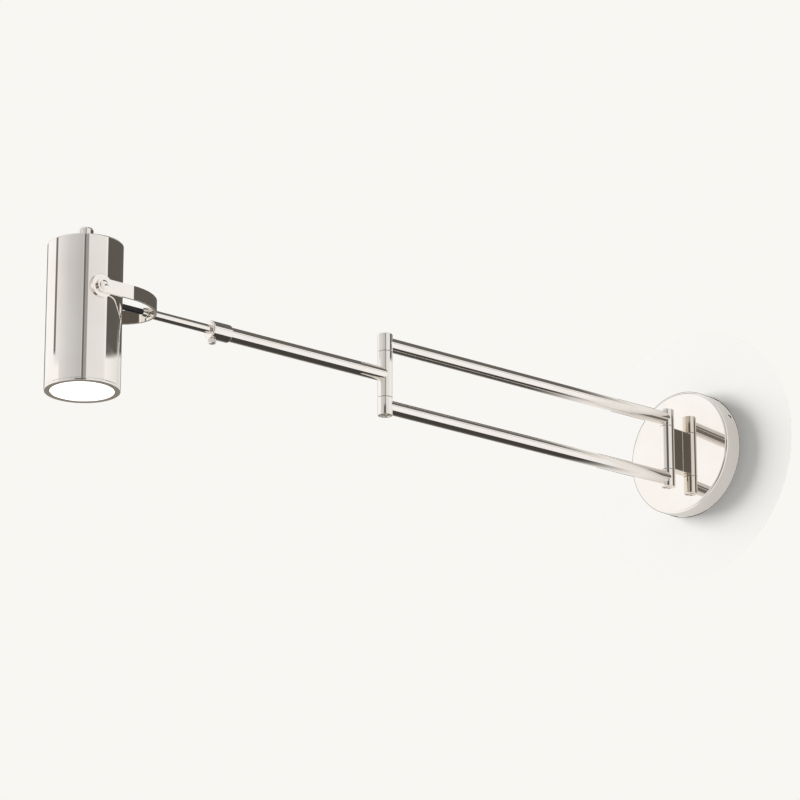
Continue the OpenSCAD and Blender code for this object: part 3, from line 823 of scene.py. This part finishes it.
class SCONCE_OT_head_cable(bpy.types.Operator):
    """Builds the short black cable between the cone nut and the head, and its grommet"""
    bl_idname = "sconce.head_cable"
    bl_label = "Head cable"

    def execute(self, context):
        radius = (CABLE[1].x - CABLE[0].x) / 2
        near, far = HOUSING[1].y - 6, CABLE[1].y
        rings = 48
        outline = [(0, near)]
        outline += [(radius, near + (far - near) * i / rings) for i in range(rings + 1)]
        outline += [(0, far)]
        bm = moved(turned(outline, sides=40), TO_BACK)
        bm.transform(AT_HEAD)
        mesh = bpy.data.meshes.new("cable")
        bm.to_mesh(mesh)
        bm.free()
        mesh.shade_smooth()
        mesh.set_sharp_from_angle(angle=math.radians(50))
        made = bpy.data.objects.new("cable", mesh)
        context.scene.collection.objects.link(made)
        mesh.materials.append(finish(pvc_sheath))
        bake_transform(made)
        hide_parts("head_cable")
        skin, lip = HOUSING[1].y, GROMMET[1].y
        grommet_r = (GROMMET[1].x - GROMMET[0].x) / 2
        grommet = turned(rounded([(radius, skin - 4, 0), (grommet_r - 1.5, skin - 4, 0),
                                  (grommet_r - 1.5, skin - 1, 0), (grommet_r, skin - 1, 0),
                                  (grommet_r, lip, 0.8), (radius, lip, 0.3)]))
        piece("grommet", moved(grommet, TO_BACK), AT_HEAD, "head", "black_rubber",
              nodes=("cable_grommet",))
        return {"FINISHED"}


class SCONCE_OT_head(bpy.types.Operator):
    """Builds the head's drawn shell, the bezel ring and the diffuser"""
    bl_idname = "sconce.head"
    bl_label = "Head"

    def execute(self, context):
        radius, top = HOUSING[1].x, HOUSING[1].z
        wall, seam = 1.5, shape_mm("seam_edge")
        bottom = HOUSING[0].z
        sides = 2 * context.scene.sconce.shape.turned_sides
        shell = turned(rounded([
            (radius - wall, bottom, 0), (radius, bottom, seam), (radius, top, shape_mm("head_edge")),
            (3.5, top, 0), (3.5, top - 2, 0), (radius - wall, top - 2, 0)], steps=6), sides=sides)
        nickel_piece("head_shell", shell, AT_HEAD, "head", nodes=("head_housing",))
        low, high = BEZEL[0].z, BEZEL[1].z
        glass, lip = radius - shape_mm("bezel_width"), 1.2
        bezel = turned(rounded([
            (glass, low, 0.4), (radius, low, 0.5), (radius, bottom - 0.06, seam),
            (radius - wall - 0.05, bottom - 0.06, 0), (radius - wall - 0.05, high, 0.3),
            (radius - wall - 1.6, high, 0), (radius - wall - 1.6, low + lip, 0), (glass, low + lip, 0)],
            steps=4), sides=sides)
        nickel_piece("bezel", bezel, AT_HEAD, "head", nodes=("bezel_ring",))
        face, crown = DIFFUSER[0].z + 0.25, 0.2
        lens = turned(rounded([
            (0, face - crown, 0), (glass * 0.5, face - crown * 0.7, 40), (glass - 0.05, face, 0.1),
            (glass - 0.05, low + lip + 0.02, 0), (radius - wall - 1.65, low + lip + 0.02, 0),
            (radius - wall - 1.65, DIFFUSER[1].z, 0.2), (0, DIFFUSER[1].z, 0)], steps=6), sides=sides)
        piece("diffuser_disc", lens, AT_HEAD, "head", "opal_acrylic", nodes=("diffuser",))
        return {"FINISHED"}


class SCONCE_OT_pivots(bpy.types.Operator):
    """Builds the saddle discs that the head turns on and the domed pivot screws"""
    bl_idname = "sconce.pivots"
    bl_label = "Pivots"

    def execute(self, context):
        head_r, face = HOUSING[1].x, DISCS[1].x - 0.05
        radius = (DISCS[1].z - DISCS[0].z) / 2
        edge = 0.25
        discs, screws = [], []
        for mirror in (Matrix.Identity(4), OTHER_SIDE):
            disc = turned(rounded([(0, head_r * 0.6, 0), (radius, head_r * 0.6, 0),
                                   (radius, face, edge), (0, face, 0)]), sides=96)
            disc = moved(disc, Matrix.Translation((0, PIVOT_Y, 0)), TO_SIDE)
            core = turned([(0, -2 * radius), (head_r - 0.05, -2 * radius), (head_r - 0.05, 2 * radius),
                           (0, 2 * radius)], sides=256)
            discs.append(moved(cut(disc, core), mirror))
            seat, dome = YOKE[1].x, SCREWS[1].x
            head_radius = 4.5
            screw = turned(rounded([
                (0, seat - 3.2, 0), (2.5, seat - 3.2, 0), (2.5, seat - 0.05, 0),
                (head_radius, seat - 0.05, 0.1), (head_radius, seat + 0.55, 0.2),
                (head_radius - 1.2, dome - 0.15, 2.5), (0, dome, 0)]), sides=64)
            socket = turned([(0, dome - 1.0), (1.45, dome - 1.0), (1.45, dome + 1), (0, dome + 1)],
                            sides=6)
            screw = moved(cut(screw, socket), Matrix.Translation((0, PIVOT_Y, 0)), TO_SIDE)
            screws.append(moved(screw, mirror))
        nickel_piece("saddle_discs", together(*discs), AT_HEAD, "head", nodes=("pivot_discs",))
        nickel_piece("pivot_bolts", together(*screws), AT_HEAD, "head", nodes=("pivot_screws",))
        return {"FINISHED"}


class SCONCE_OT_dimmer_knob(bpy.types.Operator):
    """Builds the plain turned knob of the dimmer"""
    bl_idname = "sconce.dimmer_knob"
    bl_label = "Dimmer knob"

    def execute(self, context):
        low, high, radius = KNOB[0].z, KNOB[1].z, KNOB[1].x
        outline = rounded([
            (0, low + 5, 0), (radius - 0.8, low + 5, 0), (radius - 0.8, low, 0.1),
            (radius, low, 0.3), (radius, high, shape_mm("knob_edge")), (0, high, 0)], steps=8)
        nickel_piece("knob", turned(outline), AT_HEAD, "knob", nodes=("dimmer_knob",))
        return {"FINISHED"}


class SCONCE_OT_inner_pieces(bpy.types.Operator):
    """Gives every carried-over CAD piece its finish"""
    bl_idname = "sconce.inner_pieces"
    bl_label = "Inner pieces"

    def execute(self, context):
        slots = {part["node"]: part["material_slot"] for part in frame["record"]["subparts"]}
        for name, node in frame["nodes"].items():
            if node.hide_render:
                continue
            material = finish(filled_nylon if "washer" in name else SLOT_FINISH[slots[name]])
            node.data.materials.clear()
            node.data.materials.append(material)
        return {"FINISHED"}


# ---- stage ----
# Soft boxes and dark flags round the sconce, as azimuth and elevation ranges in degrees.
# Azimuth 0 is in front of the wall, 90 to its right and 180 behind it. Brightness is
# as the polished metal shows it, from 0 black to 255 white.
SOFT_AZIMUTH = 1.0
SOFT_ELEVATION = 0.12
AROUND = (
    # azimuth, grey
    (-180, 228), (-101, 228), (-100, 252), (-52, 250), (-44, 234), (-25, 223), (0, 207), (22, 198),
    (40, 190), (59, 226), (112, 231), (122, 246), (180, 228),
)
PANELS = (
    # azimuth    elevation      grey  warm
    (45.2, 50.5, -2, 60, 108, 1),        # the gap between the two soft boxes
    (50.5, 59, -2, 60, 158, 0.5),
    (26, 60, 4, 17.72, 96, 1),           # a low flag in front
    (12, 52, -42, -3, 116, 1),
    (-51.5, -42.5, 18.45, 60, 120, 1),
    (-64, -28, -12, 18.3, 251, 0),       # white board in front of the canopy's face
    (-150, -109, 5, 60, 96, 1),          # dark flag behind on the left
    (205, 232, -20, -8, 132, 1),
    (205, 236, -40, -20, 92, 1),
    (121, 236, 18.45, 21.5, 92, 1),      # dark flag behind on the right
    (112, 236, 33, 80, 100, 1),          # dark ceiling behind
    (112, 236, -90, -38, 66, 1),         # dark floor behind
)
WALL_SHADOW = 0.13       # metres round the canopy's middle where the wall takes a shadow
WALL_GLIMPSE = 0.24      # metres round the canopy's middle where the metal shows a painted reflection of the wall
METAL = "#F6EFE7"
WARM = "#F3EDE3"


class SCONCE_OT_stage(bpy.types.Operator):
    """Builds the pale floor, the wall that takes the shadow, the lights and the camera"""
    bl_idname = "sconce.stage"
    bl_label = "Stage"

    def execute(self, context):
        make_camera(context.scene)
        make_world(context.scene)
        make_lights(context.scene)
        make_surfaces(context.scene)
        context.scene.view_settings.view_transform = "Standard"
        return {"FINISHED"}


def make_camera(scene):
    """A long lens to the right of the sconce and below it, looking up at the middle of the arm."""
    distance, azimuth, elevation = 4.093, math.radians(39.756), math.radians(-17.001)
    heading, pitch = math.radians(44.113), math.radians(17.856)
    lens = bpy.data.cameras.new("camera")
    lens.lens, lens.sensor_width = 180, 36
    lens.clip_start, lens.clip_end = 0.1, 100
    camera = bpy.data.objects.new("camera", lens)
    camera.location = distance * Vector((
        math.sin(azimuth) * math.cos(elevation), -math.cos(azimuth) * math.cos(elevation),
        math.sin(elevation)))
    camera.rotation_euler = (math.pi / 2 + pitch, 0, heading)
    scene.collection.objects.link(camera)
    scene.camera = camera


def grey_level(grey, warm):
    """A panel's linear colour from the grey that the metal shows, more brown as warm rises."""
    value = linear("#%02X%02X%02X" % (grey, grey, grey))[0] / linear(METAL)[0]
    tint = linear(WARM)
    top = max(tint[:3])
    return tuple(value * (1 - warm + warm * tint[i] / top) for i in range(3)) + (1,)


def panel_mask(tree, azimuth, elevation, panel):
    """1 inside a panel and 0 outside it, with soft edges."""
    soft_edges = (
        (azimuth, panel[0], SOFT_AZIMUTH), (azimuth, panel[1], -SOFT_AZIMUTH),
        (elevation, panel[2], SOFT_ELEVATION), (elevation, panel[3], -SOFT_ELEVATION))
    inside = 1.0
    for angle, edge, soft in soft_edges:
        step = add_node(tree, "ShaderNodeMapRange", {
            "Value": angle, "From Min": math.radians(edge - soft / 2),
            "From Max": math.radians(edge + soft / 2)}, interpolation_type="SMOOTHSTEP")
        inside = add_node(tree, "ShaderNodeMath", {0: step.outputs["Result"], 1: inside},
                          operation="MULTIPLY").outputs["Value"]
    return inside


def make_world(scene):
    """A studio of soft boxes and flags for the metal to reflect, and a plain backdrop."""
    world = bpy.data.worlds.new("studio")
    world.use_nodes = True
    tree = world.node_tree
    tree.nodes.clear()
    direction = add_node(tree, "ShaderNodeTexCoord").outputs["Generated"]
    into_room = add_node(tree, "ShaderNodeVectorMath", {0: direction, 1: (1, -1, 1)}, operation="MULTIPLY")
    parts = add_node(tree, "ShaderNodeSeparateXYZ", {"Vector": into_room.outputs["Vector"]}).outputs
    azimuth = add_node(tree, "ShaderNodeMath", {0: parts["X"], 1: parts["Y"]},
                       operation="ARCTAN2").outputs["Value"]
    from_zero = add_node(tree, "ShaderNodeMath", {0: azimuth, 1: math.tau},
                         operation="FLOORED_MODULO").outputs["Value"]
    elevation = add_node(tree, "ShaderNodeMath", {0: parts["Z"]}, operation="ARCSINE").outputs["Value"]
    turn = add_node(tree, "ShaderNodeMapRange", {
        "Value": azimuth, "From Min": -math.pi, "From Max": math.pi})
    ramp = add_node(tree, "ShaderNodeValToRGB", {"Fac": turn.outputs["Result"]})
    stops = ramp.color_ramp.elements
    for place, grey in AROUND[1:-1]:
        stops.new((place + 180) / 360)
    for stop, (place, grey) in zip(stops, AROUND):
        stop.color = grey_level(grey, 0)
    light = ramp.outputs["Color"]
    for panel in PANELS:
        crosses_back = panel[1] > 180
        inside = panel_mask(tree, from_zero if crosses_back else azimuth, elevation, panel)
        light = add_node(tree, "ShaderNodeMix", {
            0: inside, 6: light, 7: grey_level(panel[4], panel[5])}, data_type="RGBA").outputs[2]
    studio = add_node(tree, "ShaderNodeBackground", {"Color": light})
    plain = add_node(tree, "ShaderNodeBackground", {"Color": tuple(scene.sconce.colours.backdrop)})
    seen = add_node(tree, "ShaderNodeLightPath").outputs["Is Camera Ray"]
    shown = add_node(tree, "ShaderNodeMixShader", {
        0: seen, 1: studio.outputs["Background"], 2: plain.outputs["Background"]})
    add_node(tree, "ShaderNodeOutputWorld", {"Surface": shown.outputs["Shader"]})
    scene.world = world


def make_lights(scene):
    """A large soft key light on the left, which throws the canopy's shadow to the right."""
    key = bpy.data.lights.new("key_light", "AREA")
    key.shape, key.size, key.size_y = "RECTANGLE", 1.6, 1.6
    key.energy = 150
    made = bpy.data.objects.new("key_light", key)
    made.location = (-2.4, -1.15, 0.75)
    made.rotation_euler = (-made.location).to_track_quat("-Z", "Y").to_euler()
    made.visible_glossy = False
    scene.collection.objects.link(made)
    blockers = bpy.data.collections.new("key_light_blockers")
    if "canopy_shell" in bpy.data.objects:
        blockers.objects.link(bpy.data.objects["canopy_shell"])
        made.light_linking.blocker_collection = blockers


def stage_piece(name, bm, material):
    """Lays a mesh on the stage."""
    mesh = bpy.data.meshes.new(name)
    bm.to_mesh(mesh)
    bm.free()
    mesh.materials.append(material)
    made = bpy.data.objects.new(name, mesh)
    bpy.context.scene.collection.objects.link(made)
    return made


def wall_ring(near, far, y):
    """A flat ring on the wall round the canopy, facing the room."""
    bm = bmesh.new()
    turns = [2 * math.pi * i / 128 for i in range(128)]
    inner = [bm.verts.new((near * math.sin(t), y, near * math.cos(t))) for t in turns]
    outer = [bm.verts.new((far * math.sin(t), y, far * math.cos(t))) for t in turns]
    for i in range(128):
        face = bm.faces.new((inner[i - 1], inner[i], outer[i], outer[i - 1]))
        face.normal_update()
        if face.normal.y > 0:
            face.normal_flip()
    return bm


def make_surfaces(scene):
    """The wall and the floor only take shadows, so that the backdrop stays even. A second ring,
    which only the metal shows, glows as a painted reflection of the wall in the canopy's rim and the arms."""
    paint = finish(pale_paint)
    floor = bmesh.new()
    corners = [floor.verts.new((x, y, -3.2)) for x, y in ((-6, -6), (6, -6), (6, 6), (-6, 6))]
    floor.faces.new(corners)
    for surface in (stage_piece("stage_wall", wall_ring(0.0625, WALL_SHADOW, 0.0005), paint),
                    stage_piece("stage_floor", floor, paint)):
        surface.is_shadow_catcher = True
        surface.visible_glossy = False
        surface.visible_diffuse = False
    # painted reflection: this ring glows in place of a lit wall, and only the metal sees it
    glimpse = stage_piece("stage_wall_glimpse", wall_ring(0.0645, WALL_GLIMPSE, 0.001),
                          finish(painted_wall_glow))
    glimpse.visible_camera = False
    glimpse.visible_diffuse = False
    glimpse.visible_shadow = False
    glimpse.visible_transmission = False


def painted_wall_glow():
    """A painted reflection of the wall for the metal to show: a glow with painted shade beside the
    canopy, where it glows dimmer, fading out further off."""
    # painted shade: the glow is weaker close to the canopy and stronger further off
    glow_starts, glow_full = 0.08, 0.13
    material, tree, shader, where = start_material(
        "painted_wall_glow", IOR=1.5, Roughness=0.8, Base_Color=linear("#5C5B59"),
        Emission_Color=linear("#FDFCFA"))
    radius = add_node(tree, "ShaderNodeVectorMath", {0: where}, operation="LENGTH").outputs["Value"]
    glow = add_node(tree, "ShaderNodeMapRange", {
        "Value": radius, "From Min": glow_starts, "From Max": glow_full, "To Min": 0.56,
        "To Max": 0.74}, interpolation_type="SMOOTHSTEP")
    tree.links.new(glow.outputs["Result"], shader.inputs["Emission Strength"])
    fade = add_node(tree, "ShaderNodeMapRange", {
        "Value": radius, "From Min": WALL_GLIMPSE, "From Max": WALL_GLIMPSE * 0.55},
        interpolation_type="SMOOTHSTEP")
    tree.links.new(fade.outputs["Result"], shader.inputs["Alpha"])
    return material


# ---- add-on ----
BUILD_ORDER = (
    SCONCE_OT_canopy, SCONCE_OT_stage, SCONCE_OT_set_screws, SCONCE_OT_hinge_block,
    SCONCE_OT_hinges, SCONCE_OT_inner_arm, SCONCE_OT_outer_arm, SCONCE_OT_collar,
    SCONCE_OT_thumb_screw, SCONCE_OT_extension_rod, SCONCE_OT_yoke_nut, SCONCE_OT_yoke,
    SCONCE_OT_head_cable, SCONCE_OT_head, SCONCE_OT_pivots, SCONCE_OT_dimmer_knob,
    SCONCE_OT_inner_pieces)


class SCONCE_PT_panel(bpy.types.Panel):
    """Lists the sconce's pieces and its settings"""
    bl_idname = "SCONCE_PT_panel"
    bl_label = "Swing arm wall sconce"
    bl_space_type = "VIEW_3D"
    bl_region_type = "UI"
    bl_category = "Sconce"

    def draw(self, context):
        for operator in BUILD_ORDER:
            self.layout.operator(operator.bl_idname)
        for group in (context.scene.sconce.shape, context.scene.sconce.colours):
            column = self.layout.column()
            for name in group.bl_rna.properties.keys():
                if name not in ("rna_type", "name"):
                    column.prop(group, name)


CLASSES = (SconceShape, SconceColours, SconceProperties, *BUILD_ORDER, SCONCE_PT_panel)


def register():
    for cls in CLASSES:
        bpy.utils.register_class(cls)
    bpy.types.Scene.sconce = PointerProperty(type=SconceProperties)


def unregister():
    del bpy.types.Scene.sconce
    for cls in reversed(CLASSES):
        bpy.utils.unregister_class(cls)


def main():
    """Registers the add-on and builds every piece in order."""
    register()
    for operator in BUILD_ORDER:
        group, name = operator.bl_idname.split(".")
        getattr(getattr(bpy.ops, group), name)()


if __name__ == "__main__":
    main()
